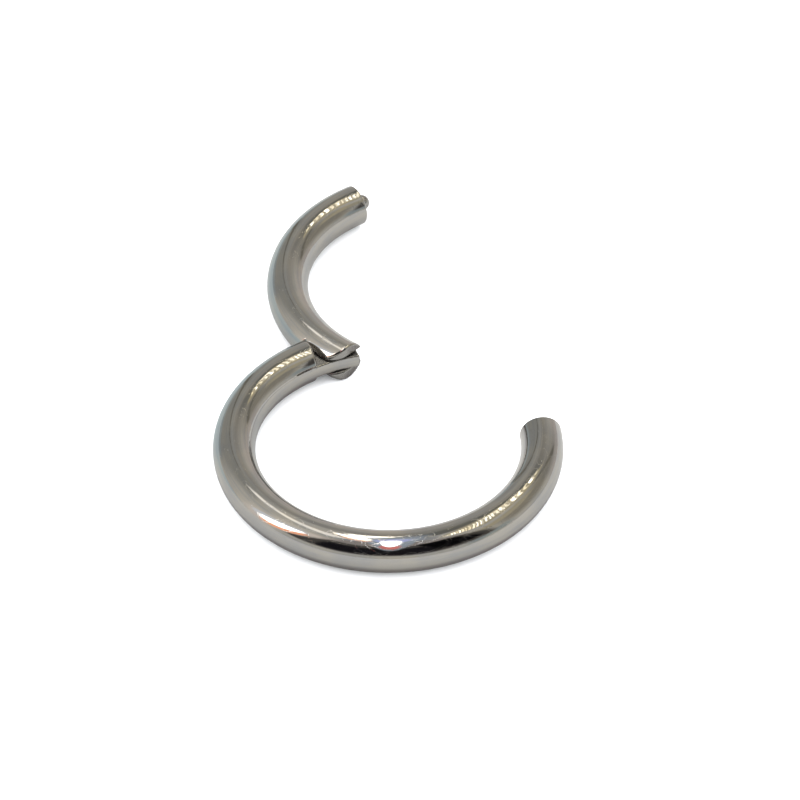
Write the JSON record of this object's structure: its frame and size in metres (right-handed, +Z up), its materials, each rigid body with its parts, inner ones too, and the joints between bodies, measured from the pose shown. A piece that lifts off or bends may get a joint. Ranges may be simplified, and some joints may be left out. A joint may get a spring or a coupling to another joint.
{
  "type": "hinged seamless ring",
  "caption": "Round-wire body jewellery ring with a hinged segment on a through pin, shown open, closed by a small nub in a blind socket.",
  "frame": {"origin": "centre of the main ring's circle, on the surface the ring lies on", "axes": "+Z up, through the ring's hollow; +Y from the ring's centre towards the side that the segment swings out to"},
  "size_m": [0.0132, 0.0217, 0.0016],
  "materials": {
    "polished_steel": "mirror polished, warm mid grey",
    "pin_steel": "polished flush with the wire"
  },
  "bodies": {
    "ring": {"main_ring": "polished_steel"},
    "segment": {"hinged_segment": "polished_steel", "hinge_pin": "pin_steel"}
  },
  "joints": [
    {"name": "segment_hinge", "type": "hinge", "parent": "ring", "child": "segment", "pos_m": [-0.00217, 0.00538, 0.0008], "axis": [0, 0, 1], "range_deg": [-114, 0]}
  ]
}
